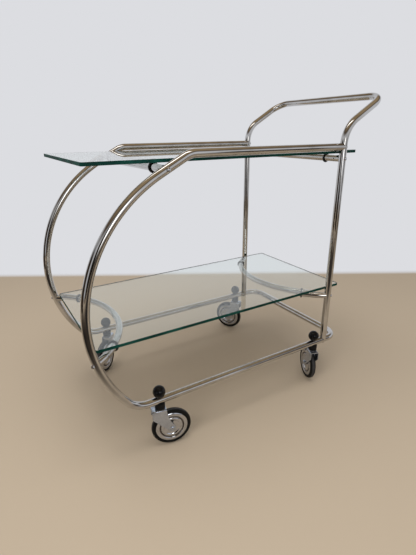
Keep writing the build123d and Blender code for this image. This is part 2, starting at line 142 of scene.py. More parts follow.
# Ground edge of the float glass: the long way through the sheet shows there as deep bottle green
edgeLook = {"base": "#06302a", "baseTo": 0.35, "mark": "#114a40", "markFrom": 0.75, "markSize": 45,
            "detail": 3.0, "breakup": 0.5}
groundEdge = patchyFinish("groundEdge", edgeLook, {"IOR": 1.52, "Roughness": 0.6, "Specular IOR Level": 0.1})

# Black rubber tyre, moulded: satin with dusty patches and a fine grain
# The grain is drawn coarser than the real one, so that it shows
tyreLook = {"base": "#090909", "baseTo": 0.5, "mark": "#1f1c19", "markFrom": 0.95, "markSize": 9,
            "detail": 6.0, "breakup": 0.7, "roughness": (0.38, 0.7), "dullBetween": (0.0, 1.0),
            "grain": 0.5, "grainDetail": 2.0, "grainStrength": 0.15}
tyreRubber = patchyFinish("tyreRubber", tyreLook, {"Specular IOR Level": 0.16})

# The same rubber where it runs on the floor: scuffed to a dull grey
treadLook = {"base": "#2c2d30", "baseTo": 0.4, "mark": "#46423d", "markFrom": 0.85, "markSize": 5,
             "detail": 6.0, "breakup": 0.7}
scuffedTread = patchyFinish("scuffedTread", treadLook, {"Roughness": 0.7, "Specular IOR Level": 0.3})

# Black phenolic ball, moulded and polished: deep gloss with faint rub marks
ballLook = {"base": "#070708", "baseTo": 0.45, "mark": "#101012", "markFrom": 0.85, "markSize": 6,
            "detail": 5.0, "breakup": 0.5, "roughness": (0.02, 0.1), "dullBetween": (0.0, 1.0)}
blackPhenolic = patchyFinish("blackPhenolic", ballLook, {"IOR": 1.6, "Specular IOR Level": 0.16})

# Black nylon, moulded: soft sheen and a spark-eroded grain, which is drawn coarser than the real one too
nylonLook = {"base": "#0a0a0b", "baseTo": 0.4, "mark": "#161617", "markFrom": 0.9, "markSize": 8,
             "detail": 4.0, "breakup": 0.5, "roughness": (0.32, 0.55), "dullBetween": (0.0, 1.0),
             "grain": 0.6, "grainDetail": 2.0, "grainStrength": 0.12}
blackNylon = patchyFinish("blackNylon", nylonLook, {"IOR": 1.53, "Specular IOR Level": 0.16})

# Zinc plated sheet steel, pressed: satin grey with a fine speckle and handling scuffs
zincLook = {"base": "#bcc4d2", "baseTo": 0.38, "mark": "#a3aab6", "markFrom": 0.68,
            "roughness": (0.1, 0.22), "dullBetween": (0.3, 0.7),
            "speckle": 1.6, "speckleDetail": 3.0, "grainStrength": 0.08,
            "scuff": 14, "scuffDetail": 6.0, "scuffBreakup": 0.65, "scuffShare": 0.6}
zincPlate, tree, shader, place = startMaterial("zincPlate", {"Metallic": 0.95})
speckle = addNode(tree, "ShaderNodeTexNoise", {
    "Scale": per(zincLook["speckle"]), "Detail": zincLook["speckleDetail"]}, {"Vector": place})
scuff = addNode(tree, "ShaderNodeTexNoise", {
    "Scale": per(zincLook["scuff"]), "Detail": zincLook["scuffDetail"],
    "Roughness": zincLook["scuffBreakup"]}, {"Vector": place})
both = addNode(tree, "ShaderNodeMix", {"data_type": "FLOAT", "Factor": zincLook["scuffShare"]}, {
    2: speckle.outputs["Fac"], 3: scuff.outputs["Fac"]})
paintMarks(tree, shader, both.outputs[0], zincLook)
bump = addNode(tree, "ShaderNodeBump", {"Strength": zincLook["grainStrength"], "Distance": grainHeight}, {
    "Height": speckle.outputs["Fac"]})
tree.links.new(bump.outputs["Normal"], shader.inputs["Normal"])

# Chromed pressed sheet of the hubcaps and screw heads: bright, worn dull in small patches
capLook = {"base": "#c3c6cd", "baseTo": 0.45, "mark": "#a3a09c", "markFrom": 0.85, "markSize": 11,
           "detail": 6.0, "breakup": 0.7, "roughness": (0.05, 0.16), "dullBetween": (0.4, 0.8)}
chromedSheet = patchyFinish("chromedSheet", capLook, {"Metallic": 1.0})

# Grime and painted shade in the pressed groove of the hubcaps: dark, dull and patchy over the chrome
grooveGrimeAndShadeLook = {"base": "#463d35", "baseTo": 0.4, "mark": "#7d7266", "markFrom": 0.8, "markSize": 4,
             "detail": 4.0, "breakup": 0.5}
grooveGrimeAndShade = patchyFinish("grooveGrimeAndShade", grooveGrimeAndShadeLook, {"Metallic": 0.5, "Roughness": 0.5})

# Black rubber cord rings: matt with a slight bloom
ringLook = {"base": "#161616", "baseTo": 0.4, "mark": "#2e2e2d", "markFrom": 0.9, "markSize": 3,
            "detail": 4.0, "breakup": 0.5}
ringRubber = patchyFinish("ringRubber", ringLook, {"Roughness": 0.55})

# Turned steel of the pins, plugs and races: grey with tool marks, drawn coarser than the real ones
steelLook = {"base": "#7c7a77", "baseTo": 0.0, "mark": "#a5a3a0", "markFrom": 1.0, "markSize": 0.8,
             "waver": 3.0, "detail": 2.0}
turnedSteel, tree, shader, place = startMaterial("turnedSteel", {"Metallic": 1.0, "Roughness": 0.35})
marks = addNode(tree, "ShaderNodeTexWave", {
    "Scale": per(steelLook["markSize"]), "Distortion": steelLook["waver"], "Detail": steelLook["detail"]},
    {"Vector": place})
paintMarks(tree, shader, marks.outputs["Fac"], steelLook)
print("finishes mixed")


def addMesh(name, verts, faces, material):
    mesh = bpy.data.meshes.new(name)
    mesh.from_pydata([tuple(v) for v in verts], [], faces)
    mesh.validate()
    mesh.materials.append(material)
    piece = bpy.data.objects.new(name, mesh)
    bpy.context.scene.collection.objects.link(piece)
    return piece


def roundEdges(piece, crisp):  # smooth shading, crisp where faces meet at more than this angle
    piece.data.polygons.foreach_set("use_smooth", [True] * len(piece.data.polygons))
    piece.data.set_sharp_from_angle(angle=radians(crisp))
    return piece


def bevelEdges(piece, width, sharpFrom):  # a narrow round on edges that turn more than this angle
    bevel = piece.modifiers.new("bevel", "BEVEL")
    bevel.width = width * mm
    bevel.segments = 2
    bevel.limit_method = "ANGLE"
    bevel.angle_limit = radians(sharpFrom)


def freeze(piece, name, material):  # the evaluated result as a plain mesh, modifiers gone
    graph = bpy.context.evaluated_depsgraph_get()
    mesh = bpy.data.meshes.new_from_object(piece.evaluated_get(graph), depsgraph=graph)
    mesh.name = name
    if not mesh.materials:
        mesh.materials.append(material)
    bpy.data.objects.remove(piece)
    plain = bpy.data.objects.new(name, mesh)
    bpy.context.scene.collection.objects.link(plain)
    return plain


def settle(piece, body, slot, *nodes):  # hand a finished piece to the frame
    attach(piece, body)
    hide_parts(*nodes)


def latheMesh(name, profile, centre, axis, material, sides, crisp=32):  # profile: along the axis, radius
    axis = Vector(axis).normalized()
    across = axis.orthogonal().normalized()
    other = axis.cross(across)
    verts, faces, rings = [], [], []
    for along, radius in profile:
        middle = (Vector(centre) + axis * along) * mm
        if radius == 0:  # a point on the axis
            rings.append([len(verts)] * sides)
            verts.append(middle)
            continue
        rings.append(list(range(len(verts), len(verts) + sides)))
        for i in range(sides):
            turn = 2 * pi * i / sides
            verts.append(middle + (across * cos(turn) + other * sin(turn)) * radius * mm)
    for low, high in zip(rings, rings[1:]):
        for i in range(sides):
            j = (i + 1) % sides
            corners = [low[i], low[j], high[j], high[i]]
            faces.append(list(dict.fromkeys(corners)))
    piece = addMesh(name, verts, faces, material)
    shape = bmesh.new()
    shape.from_mesh(piece.data)
    bmesh.ops.remove_doubles(shape, verts=shape.verts, dist=1e-7)
    bmesh.ops.recalc_face_normals(shape, faces=shape.faces)
    shape.to_mesh(piece.data)
    shape.free()
    return roundEdges(piece, crisp)


def arcThrough(start, middle, end, count):  # points of the arc through three, without the first
    ax, ay, bx, by, cx, cy = *start, *middle, *end
    d = 2 * (ax * (by - cy) + bx * (cy - ay) + cx * (ay - by))
    ux = ((ax**2 + ay**2) * (by - cy) + (bx**2 + by**2) * (cy - ay) + (cx**2 + cy**2) * (ay - by)) / d
    uy = ((ax**2 + ay**2) * (cx - bx) + (bx**2 + by**2) * (ax - cx) + (cx**2 + cy**2) * (bx - ax)) / d
    hub = Vector((ux, uy))
    first, last = Vector(start) - hub, Vector(end) - hub
    turn = first.angle_signed(last)
    half = first.angle_signed(Vector(middle) - hub)
    if half * turn < 0:
        turn += -2 * pi if turn > 0 else 2 * pi
    return [tuple(hub + Matrix.Rotation(-turn * i / count, 2) @ first) for i in range(1, count + 1)]


# Bent tubes: one Geometry Nodes tree sweeps a circle along each tube's line
tubeTree = bpy.data.node_groups.new("bentTube", "GeometryNodeTree")
tubeTree.interface.new_socket("Geometry", in_out="INPUT", socket_type="NodeSocketGeometry")
tubeDiameter = tubeTree.interface.new_socket("Diameter", in_out="INPUT", socket_type="NodeSocketFloat")
tubeSides = tubeTree.interface.new_socket("Sides", in_out="INPUT", socket_type="NodeSocketInt")
tubeFinish = tubeTree.interface.new_socket("Finish", in_out="INPUT", socket_type="NodeSocketMaterial")
tubeTree.interface.new_socket("Geometry", in_out="OUTPUT", socket_type="NodeSocketGeometry")
given = addNode(tubeTree, "NodeGroupInput")
halved = addNode(tubeTree, "ShaderNodeMath", {"operation": "MULTIPLY", 1: 0.5}, {
    0: given.outputs["Diameter"]})
section = addNode(tubeTree, "GeometryNodeCurvePrimitiveCircle", links={
    "Resolution": given.outputs["Sides"], "Radius": halved.outputs[0]})
swept = addNode(tubeTree, "GeometryNodeCurveToMesh", {"Fill Caps": True}, {
    "Curve": given.outputs["Geometry"], "Profile Curve": section.outputs["Curve"]})
real = addNode(tubeTree, "GeometryNodeRealizeInstances", links={"Geometry": swept.outputs["Mesh"]})
dressed = addNode(tubeTree, "GeometryNodeSetMaterial", links={
    "Geometry": real.outputs["Geometry"], "Material": given.outputs["Finish"]})
addNode(tubeTree, "NodeGroupOutput", links={"Geometry": dressed.outputs["Geometry"]})
tubeCrisp = 40  # only the cut ends of a tube stay crisp


def bentTube(name, line, diameter, sides):
    curve = bpy.data.curves.new(name, "CURVE")
    curve.dimensions = "3D"
    spline = curve.splines.new("POLY")
    spline.points.add(len(line) - 1)
    for point, place in zip(spline.points, line):
        point.co = (*(place * mm), 1)
    piece = bpy.data.objects.new(name, curve)
    bpy.context.scene.collection.objects.link(piece)
    nodes = piece.modifiers.new("bentTube", "NODES")
    nodes.node_group = tubeTree
    nodes[tubeDiameter.identifier] = diameter * mm
    nodes[tubeSides.identifier] = sides
    nodes[tubeFinish.identifier] = polishedChrome
    return roundEdges(freeze(piece, name, polishedChrome), tubeCrisp)


bend = {"step": 1.25, "fewest": 8}  # degrees between the points of a bend, and its fewest steps


def walkTube(start, way, steps):  # runs (length,) and bends (radius, turn, axis) from a start
    line = [Vector(start)]
    way = Vector(way).normalized()
    for step in steps:
        if len(step) == 1:
            line.append(line[-1] + way * step[0])
            continue
        radius, turn, axis = step[0], radians(step[1]), Vector(step[2])
        hub = line[-1] + axis.cross(way) * radius * (1 if turn > 0 else -1)
        spoke = line[-1] - hub
        count = max(bend["fewest"], int(abs(step[1]) / bend["step"]))
        line += [hub + Matrix.Rotation(turn * i / count, 3, axis) @ spoke for i in range(1, count + 1)]
        way = Matrix.Rotation(turn, 3, axis) @ way
    return line


def middleOf(node):
    low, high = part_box(node)
    return (low + high) / 2 / mm


# Side loops: top rail, knee, slope, arch, heel, bottom rail and half of the rear bar, from one tube each
frameTube = {"diameter": 20, "sides": 64, "halfWidth": 220, "baseHeight": 142, "topHeight": 742,
             "railRun": 466, "kneeRadius": 55, "kneeTurn": 28, "slopeRun": 72, "archTurn": 100,
             "heelRadius": 68, "cornerRadius": 45, "rearRun": 63, "seam": 0.12}
tubeRadius = frameTube["diameter"] / 2
halfWidth, topHeight, baseHeight = (frameTube[key] for key in ("halfWidth", "topHeight", "baseHeight"))
uprightX = middleOf("upper_rear_cross_tube").x
dip = radians(frameTube["kneeTurn"])
tuck = radians(frameTube["kneeTurn"] + frameTube["archTurn"])
kneeDrop = frameTube["kneeRadius"] * (1 - cos(dip)) + frameTube["slopeRun"] * sin(dip)
heelDrop = frameTube["heelRadius"] * (1 + cos(tuck))
archRadius = (topHeight - baseHeight - kneeDrop - heelDrop) / (cos(dip) - cos(tuck))
for side, name, node in ((-1, "sideTubeLeft", "left_side_tube"), (1, "sideTubeRight", "right_side_tube")):
    outward = (0, -1, 0)  # turns about this axis run down the front
    line = walkTube((uprightX, side * halfWidth, topHeight), (-1, 0, 0), [
        (frameTube["railRun"],), (frameTube["kneeRadius"], frameTube["kneeTurn"], outward),
        (frameTube["slopeRun"],), (archRadius, frameTube["archTurn"], outward),
        (frameTube["heelRadius"], 180 - frameTube["kneeTurn"] - frameTube["archTurn"], outward)])
    heelEnd = line[-1]
    baseRun = uprightX + frameTube["rearRun"] - frameTube["cornerRadius"] - heelEnd.x
    line += walkTube(heelEnd, (1, 0, 0), [
        (baseRun,), (frameTube["cornerRadius"], 90 * -side, (0, 0, 1)),
        (halfWidth - frameTube["cornerRadius"] - frameTube["seam"],)])[1:]
    tube = bentTube(name, line, frameTube["diameter"], frameTube["sides"])
    settle(tube, "trolley_frame", "frame_chrome", node)

# Handle: upright, arm, bar, arm and upright from one tube
handleTube = {"diameter": 20, "sides": 64, "armHeight": 650, "armPitch": 30, "armReach": 145,
              "elbowRadius": 75, "cornerRadius": 48}
armPitch = radians(handleTube["armPitch"])
elbowTurn = 90 - handleTube["armPitch"]
elbowTrim = handleTube["elbowRadius"] * tan(radians(elbowTurn / 2))
uprightRun = handleTube["armHeight"] - elbowTrim
armRun = handleTube["armReach"] / cos(armPitch) - elbowTrim - handleTube["cornerRadius"]
armAxis = (sin(armPitch), 0, -cos(armPitch))  # square to the sloping arms
line = walkTube((uprightX, -halfWidth, baseHeight), (0, 0, 1), [
    (uprightRun,), (handleTube["elbowRadius"], elbowTurn, (0, 1, 0)),
    (armRun,), (handleTube["cornerRadius"], -90, armAxis),
    (2 * (halfWidth - handleTube["cornerRadius"]),), (handleTube["cornerRadius"], -90, armAxis),
    (armRun,), (handleTube["elbowRadius"], -elbowTurn, (0, 1, 0)), (uprightRun,)])
handle = bentTube("handleTube", line, handleTube["diameter"], handleTube["sides"])
settle(handle, "trolley_frame", "frame_chrome", "handle_frame")
print("frame tubes bent, handle ends at", [round(v, 1) for v in line[-1]])

# Straight supports of the top pane, with small drain holes that face the front
support = {"diameter": 18, "sides": 56, "bowDepth": 115}
drain = {"diameter": 4, "inset": 23, "lead": 1, "depth": 5, "sides": 24}
drainRadius = drain["diameter"] / 2
drainProfile = [(0, 0), (0, drainRadius), (drain["depth"], drainRadius), (drain["depth"], 0)]
for name, node in (("crossTubeFront", "upper_front_cross_tube"), ("crossTubeRear", "upper_rear_cross_tube")):
    centre = middleOf(node)
    end = Vector((0, halfWidth, 0))
    tube = bentTube(name, [centre - end, centre + end], support["diameter"], support["sides"])
    drills = []
    for y in (drain["inset"] - halfWidth, halfWidth - drain["inset"]):
        mouth = centre + Vector((-support["diameter"] / 2 - drain["lead"], y, 0))
        drills.append(latheMesh("drill", drainProfile, mouth, (1, 0, 0), ringRubber, sides=drain["sides"]))
        cut = tube.modifiers.new("drain", "BOOLEAN")
        cut.operation = "DIFFERENCE"
        cut.object = drills[-1]
    tube = roundEdges(freeze(tube, name, polishedChrome), tubeCrisp)
    for drill in drills:
        bpy.data.objects.remove(drill)
    settle(tube, "trolley_frame", "frame_chrome", node)

# Bowed supports of the lower pane: the front one starts where the arch passes its height
lowerHeight = middleOf("lower_rear_bow").z
bowRadius = (halfWidth**2 + support["bowDepth"]**2) / (2 * support["bowDepth"])
bowTurn = degrees(asin(halfWidth / bowRadius))
kneeReach = frameTube["kneeRadius"] * sin(dip) + frameTube["slopeRun"] * cos(dip)
archX = uprightX - frameTube["railRun"] - kneeReach + archRadius * sin(dip)
archHub = Vector((archX, 0, topHeight - kneeDrop - archRadius * cos(dip)))
bowFrontX = archHub.x - sqrt(archRadius**2 - (lowerHeight - archHub.z)**2)
bowEnds = {}
for name, node, x, bulge in (
        ("bowFront", "lower_front_bow", bowFrontX, 1), ("bowRear", "lower_rear_bow", uprightX, -1)):
    bowStart = Vector((x, -halfWidth, lowerHeight))
    bowWay = Vector((bulge * sin(radians(bowTurn)), cos(radians(bowTurn)), 0))
    line = walkTube(bowStart, bowWay, [(bowRadius, 2 * bowTurn * bulge, (0, 0, 1))])
    bowEnds[name] = (bowStart, bowWay)
    bow = bentTube(name, line, support["diameter"], support["sides"])
    settle(bow, "trolley_frame", "frame_chrome", node)
print("supports set")


# Small pieces that repeat: a tree that stands one made-up piece on each point, along the point's way
def startScatter(name, sizes):
    tree = bpy.data.node_groups.new(name, "GeometryNodeTree")
    tree.interface.new_socket("Geometry", in_out="INPUT", socket_type="NodeSocketGeometry")
    inputs = {}
    for size in sizes:
        inputs[size] = tree.interface.new_socket(size, in_out="INPUT", socket_type="NodeSocketFloat")
    inputs["Finish"] = tree.interface.new_socket("Finish", in_out="INPUT", socket_type="NodeSocketMaterial")
    tree.interface.new_socket("Geometry", in_out="OUTPUT", socket_type="NodeSocketGeometry")
    return tree, inputs, addNode(tree, "NodeGroupInput")


def endScatter(tree, given, made):
    way = addNode(tree, "GeometryNodeInputNamedAttribute", {"data_type": "FLOAT_VECTOR", "Name": "way"})
    turned = addNode(tree, "FunctionNodeAlignRotationToVector", {"axis": "Z"}, {
        "Vector": way.outputs["Attribute"]})
    stood = addNode(tree, "GeometryNodeInstanceOnPoints", links={
        "Points": given.outputs["Geometry"], "Instance": made, "Rotation": turned.outputs["Rotation"]})
    real = addNode(tree, "GeometryNodeRealizeInstances", links={"Geometry": stood.outputs["Instances"]})
    dressed = addNode(tree, "GeometryNodeSetMaterial", links={
        "Geometry": real.outputs["Geometry"], "Material": given.outputs["Finish"]})
    addNode(tree, "NodeGroupOutput", links={"Geometry": dressed.outputs["Geometry"]})


def scatter(name, tree, inputs, sizes, places, material, crisp):  # places: point and way
    piece = addMesh(name, [point * mm for point, way in places], [], material)
    ways = piece.data.attributes.new("way", "FLOAT_VECTOR", "POINT")
    for item, (point, way) in zip(ways.data, places):
        item.vector = way
    nodes = piece.modifiers.new(name, "NODES")
    nodes.node_group = tree
    for size, value in sizes.items():
        nodes[inputs[size].identifier] = value * mm
    nodes[inputs["Finish"].identifier] = material
    return roundEdges(freeze(piece, name, material), crisp)


def bothSides(places):  # these and their mirror images
    return places + [(Vector((p.x, -p.y, p.z)), Vector((w.x, -w.y, w.z))) for p, w in places]


# Round-head screws: a squat dome, and a bar that cuts its slot
screwTree, screwInputs, given = startScatter("roundScrew", ("Head", "Height", "Slot", "Depth"))
halved = addNode(screwTree, "ShaderNodeMath", {"operation": "MULTIPLY", 1: 0.5}, {0: given.outputs["Head"]})
dome = addNode(screwTree, "GeometryNodeMeshUVSphere", {"Segments": 32, "Rings": 20}, {
    "Radius": halved.outputs[0]})
squat = addNode(screwTree, "ShaderNodeMath", {"operation": "DIVIDE"}, {
    0: given.outputs["Height"], 1: halved.outputs[0]})
squash = addNode(screwTree, "ShaderNodeCombineXYZ", {"X": 1.0, "Y": 1.0}, {"Z": squat.outputs[0]})
head = addNode(screwTree, "GeometryNodeTransform", links={
    "Geometry": dome.outputs["Mesh"], "Scale": squash.outputs[0]})
# Half of the bar stands clear of the head, and it reaches past both sides
deep = addNode(screwTree, "ShaderNodeMath", {"operation": "MULTIPLY", 1: 2.0}, {0: given.outputs["Depth"]})
wide = addNode(screwTree, "ShaderNodeMath", {"operation": "MULTIPLY", 1: 1.5}, {0: given.outputs["Head"]})
blade = addNode(screwTree, "ShaderNodeCombineXYZ", links={
    "X": wide.outputs[0], "Y": given.outputs["Slot"], "Z": deep.outputs[0]})
bar = addNode(screwTree, "GeometryNodeMeshCube", links={"Size": blade.outputs[0]})
lift = addNode(screwTree, "ShaderNodeCombineXYZ", links={"Z": given.outputs["Height"]})
raised = addNode(screwTree, "GeometryNodeTransform", links={
    "Geometry": bar.outputs["Mesh"], "Translation": lift.outputs[0]})
slotted = addNode(screwTree, "GeometryNodeMeshBoolean", {"operation": "DIFFERENCE"}, {
    "Mesh 1": head.outputs["Geometry"], "Mesh 2": raised.outputs["Geometry"]})
endScatter(screwTree, given, slotted.outputs["Mesh"])

screw = {"Head": 10, "Height": 3.6, "Slot": 1.3, "Depth": 1.6}
crossFront = middleOf("upper_front_cross_tube")
crossRear = middleOf("upper_rear_cross_tube")
left = Vector((0, -1, 0))
outerFace = left * (halfWidth + tubeRadius)  # from a cross tube's middle to the outside of the side tube
rearFace = Vector((uprightX + tubeRadius, -halfWidth, topHeight))
underFace = Vector((uprightX, -halfWidth, baseHeight - tubeRadius))
frontBowStart, frontBowWay = bowEnds["bowFront"]
rearBowStart, rearBowWay = bowEnds["bowRear"]
archTangent = Vector((lowerHeight - archHub.z, 0, archHub.x - bowFrontX)).normalized()
lean = abs(archTangent.dot(frontBowWay))  # the front bow meets the arch askew, and its heads stand out more
frontSeat = (tubeRadius + screw["Head"] / 2 * lean) / sqrt(1 - lean**2)
screwRows = {
    "railScrews": ("rail_screws", [(rearFace, Vector((1, 0, 0)))]),
    "footScrews": ("foot_screws", [(underFace, Vector((0, 0, -1)))]),
    "crossTubeScrews": ("cross_tube_screws", [(crossFront + outerFace, left),
                                              (crossRear + outerFace, left)]),
    "bowScrews": ("bow_screws", [(frontBowStart - frontBowWay * frontSeat, -frontBowWay),
                                 (rearBowStart - rearBowWay * tubeRadius, -rearBowWay)]),
}
for name, (node, places) in screwRows.items():
    row = scatter(name, screwTree, screwInputs, screw, bothSides(places), chromedSheet, crisp=35)
    settle(row, "trolley_frame", "screw_plate", node)

# Rubber rings on the supports
ringTree, ringInputs, given = startScatter("cordRing", ("Radius", "Cord"))
halved = addNode(ringTree, "ShaderNodeMath", {"operation": "MULTIPLY", 1: 0.5}, {0: given.outputs["Cord"]})
loop = addNode(ringTree, "GeometryNodeCurvePrimitiveCircle", {"Resolution": 56}, {
    "Radius": given.outputs["Radius"]})
cord = addNode(ringTree, "GeometryNodeCurvePrimitiveCircle", {"Resolution": 16}, {
    "Radius": halved.outputs[0]})
hoop = addNode(ringTree, "GeometryNodeCurveToMesh", links={
    "Curve": loop.outputs["Curve"], "Profile Curve": cord.outputs["Curve"]})
endScatter(ringTree, given, hoop.outputs["Mesh"])

ringCord = 4
ring = {"Radius": (support["diameter"] + ringCord) / 2, "Cord": ringCord}
# Distances of the rings from the trolley's middle plane
ringPlaces = {"upperFront": 151, "upperRear": 160, "lowerFront": 165, "lowerRear": 165}
upperRings = [(crossFront + left * ringPlaces["upperFront"], -left),
              (crossRear + left * ringPlaces["upperRear"], -left)]
lowerRings = []
for key, x, bulge in (("lowerFront", bowFrontX, 1), ("lowerRear", uprightX, -1)):
    turn = asin(ringPlaces[key] / bowRadius)
    hubX = x - bulge * (bowRadius - support["bowDepth"])
    lowerRings.append((Vector((hubX + bulge * bowRadius * cos(turn), -ringPlaces[key], lowerHeight)),
                       Vector((bulge * sin(turn), cos(turn), 0))))
ringRows = {"ringsUpper": ("upper_rings", upperRings), "ringsLower": ("lower_rings", lowerRings)}
for name, (node, places) in ringRows.items():
    row = scatter(name, ringTree, ringInputs, ring, bothSides(places), ringRubber, crisp=180)
    settle(row, "trolley_frame", "ring_rubber", node)
print("screws and rings set")

# Glass panes: float glass with rounded corners and ground, bevelled edges
pane = {"thickness": 8, "corner": 7, "cornerSteps": 16, "arris": 0.6, "level": 0.99}
for name, node in (("glassTop", "top_glass"), ("glassLower", "lower_glass")):
    low, high = (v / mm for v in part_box(node))
    corner = pane["corner"]
    rim = []
    for hubX, hubY, first in ((high.x - corner, high.y - corner, 0), (low.x + corner, high.y - corner, 90),
                              (low.x + corner, low.y + corner, 180), (high.x - corner, low.y + corner, 270)):
        for i in range(pane["cornerSteps"] + 1):
            turn = radians(first + 90 * i / pane["cornerSteps"])
            rim.append(Vector((hubX + corner * cos(turn), hubY + corner * sin(turn), low.z)))
    count = len(rim)
    verts = [v * mm for v in rim] + [(v + Vector((0, 0, pane["thickness"]))) * mm for v in rim]
    faces = [list(range(count))[::-1], list(range(count, 2 * count))]
    faces += [[i, (i + 1) % count, count + (i + 1) % count, count + i] for i in range(count)]
    sheet = addMesh(name, verts, faces, floatGlass)
    bevelEdges(sheet, pane["arris"], sharpFrom=60)
    sheet = roundEdges(freeze(sheet, name, floatGlass), crisp=8)  # the faces stay dead flat
    sheet.data.materials.append(groundEdge)
    for face in sheet.data.polygons:  # the level faces are clear, the rest is ground
        face.material_index = 0 if abs(face.normal.z) > pane["level"] else 1
    settle(sheet, "trolley_frame", "float_glass", node)
print("panes cut")

# Casters: the fixed tops ride on the frame, the forks swivel, the wheels spin
wheel = {"diameter": 107, "tyreWidth": 18.5, "tyre": 10, "shoulder": 6, "tread": 9, "treadSteps": 22,
         "rim": 13.4, "hub": 18, "sides": 128}
bead = {"seat": 0.05, "lipOut": 0.6, "lipUp": 0.9, "edgeIn": 0.5, "edgeUp": 1.3, "sideUp": 2.2}  # at the rim
halfTyre = wheel["tyreWidth"] / 2
halfRim = wheel["rim"] / 2
rimRadius = wheel["diameter"] / 2 - wheel["tyre"]
shoulderRadius = wheel["diameter"] / 2 - wheel["shoulder"]
tyreProfile = [(-halfRim, rimRadius + bead["seat"]), (-halfRim - bead["lipOut"], rimRadius + bead["lipUp"]),
               (-halfTyre + bead["edgeIn"], rimRadius + bead["edgeUp"]),
               (-halfTyre, rimRadius + bead["sideUp"])]
wall = [(-along, radius) for along, radius in tyreProfile[::-1]]
tyreProfile.append((-halfTyre, shoulderRadius))
tyreProfile += arcThrough(tyreProfile[-1], (0, wheel["diameter"] / 2), (halfTyre, shoulderRadius),
                          wheel["treadSteps"])
tyreProfile += wall + [tyreProfile[0]]

# Hubcap: ring, groove, boss and dished middle, each an arc across its width
cap = {"thickness": 0.8, "inset": 0.4, "seat": 0.05, "ringWidth": 10, "ringHeight": 1.6, "grooveWidth": 3.6,
       "grooveDepth": 1.6, "bossWidth": 8.5, "bossHeight": 1.9, "dish": 0.9, "arcSteps": 10, "sides": 112}
capRadii = [rimRadius - cap["inset"]]
for width in (cap["ringWidth"], cap["grooveWidth"], cap["bossWidth"]):
    capRadii.append(capRadii[-1] - width)
capRadii.append(wheel["hub"] / 2 + cap["seat"])
capLevel = halfRim + cap["seat"] + cap["thickness"]
capFace = [(capLevel, capRadii[0])]
capSwells = (cap["ringHeight"], -cap["grooveDepth"], cap["bossHeight"], -cap["dish"])
for inner, swell in zip(capRadii[1:], capSwells):
    crest = (capLevel + swell, (capFace[-1][1] + inner) / 2)
    capFace += arcThrough(capFace[-1], crest, (capLevel, inner), cap["arcSteps"])
capBack = [(along - cap["thickness"], radius) for along, radius in capFace[::-1]]
capProfile = capFace + capBack + [capFace[0]]

# Fork: pressed from sheet, its cheeks a gap away from the tyre. Faces within flat degrees are joined
fork = {"sideGap": 1.8, "sheet": 2, "top": 116.5, "weld": 0.002, "flat": 0.5, "edge": 0.3}
halfFork = halfTyre + fork["sideGap"] + fork["sheet"]

# Axle: a pin with a domed rivet head past each cheek of the fork
axlePin = {"diameter": 8, "rivet": 13, "rivetHeight": 3, "domeAlong": 0.72, "domeOut": 0.32, "domeSteps": 10,
           "sides": 40}
rivetEnd = halfFork + axlePin["rivetHeight"]
domeMiddle = (halfFork + axlePin["rivetHeight"] * axlePin["domeAlong"],
              axlePin["rivet"] * axlePin["domeOut"])
axleProfile = [(rivetEnd, 0)]
axleProfile += arcThrough(axleProfile[0], domeMiddle, (halfFork, axlePin["rivet"] / 2), axlePin["domeSteps"])
axleProfile.append((halfFork, axlePin["diameter"] / 2))
axleProfile += [(-along, radius) for along, radius in axleProfile[::-1]]

# Moulded collar between the fork and the rail
collar = {"diameter": 27, "race": 1.5, "rise": 4, "round": 1.5, "roundSteps": 5, "roundMiddle": 0.29,
          "lipDown": 1, "lipIn": 0.8, "bore": 10.2, "sides": 48}
foot = fork["top"] + collar["race"]
top = baseHeight - tubeRadius + collar["rise"]
outside = collar["diameter"] / 2
inside = collar["bore"] / 2
roundIn = collar["round"] * collar["roundMiddle"]  # to the middle of the rounded edge
collarProfile = [(foot, inside), (foot, outside - collar["round"])]
collarProfile += arcThrough(collarProfile[-1], (foot + roundIn, outside - roundIn),
                            (foot + collar["round"], outside), collar["roundSteps"])
collarProfile += [(top - collar["lipDown"], outside), (top, outside - collar["lipIn"]), (top, inside),
                  collarProfile[0]]


def pressFork(name, node):  # the solid's own shape with its sheared edges softened
    pressed = frame["nodes"][node].data.copy()
    shape = bmesh.new()
    shape.from_mesh(pressed)
    bmesh.ops.remove_doubles(shape, verts=shape.verts, dist=fork["weld"] * mm)
    bmesh.ops.dissolve_limit(shape, angle_limit=radians(fork["flat"]), verts=shape.verts, edges=shape.edges)
    shape.to_mesh(pressed)
    shape.free()
    pressed.materials.clear()
    pressed.materials.append(zincPlate)
    piece = bpy.data.objects.new(name, pressed)
    bpy.context.scene.collection.objects.link(piece)
    bevelEdges(piece, fork["edge"], sharpFrom=50)
    return roundEdges(freeze(piece, name, zincPlate), crisp=30)


def offAxis(face, hub, axis):  # how far a face lies along the axle, and out from it
    spoke = face.center / mm - hub
    along = spoke.dot(axis)
    return along, (spoke - axis * along).length


def mouldTyre(name, hub, axis):
    tyre = latheMesh(name, tyreProfile, hub, axis, tyreRubber, sides=wheel["sides"], crisp=50)
    tyre.data.materials.append(scuffedTread)
    for face in tyre.data.polygons:
        along, reach = offAxis(face, hub, axis)
        face.material_index = 1 if reach > shoulderRadius and abs(along) < wheel["tread"] / 2 else 0
    return tyre


def pressHubcaps(name, hub, axis):  # one on each side of the wheel
    joined = bmesh.new()
    for way in (-1, 1):
        half = latheMesh("cap", capProfile, hub, axis * way, chromedSheet, sides=cap["sides"], crisp=50)
        joined.from_mesh(half.data)
        bpy.data.objects.remove(half)
    caps = addMesh(name, [], [], chromedSheet)
    joined.to_mesh(caps.data)
    joined.free()
    # The groove's faces take the darker finish: grime together with painted shade in the recess
    caps.data.materials.append(grooveGrimeAndShade)
    for face in caps.data.polygons:
        reach = offAxis(face, hub, axis)[1]
        face.material_index = 1 if capRadii[2] < reach < capRadii[1] else 0
    return roundEdges(caps, crisp=50)


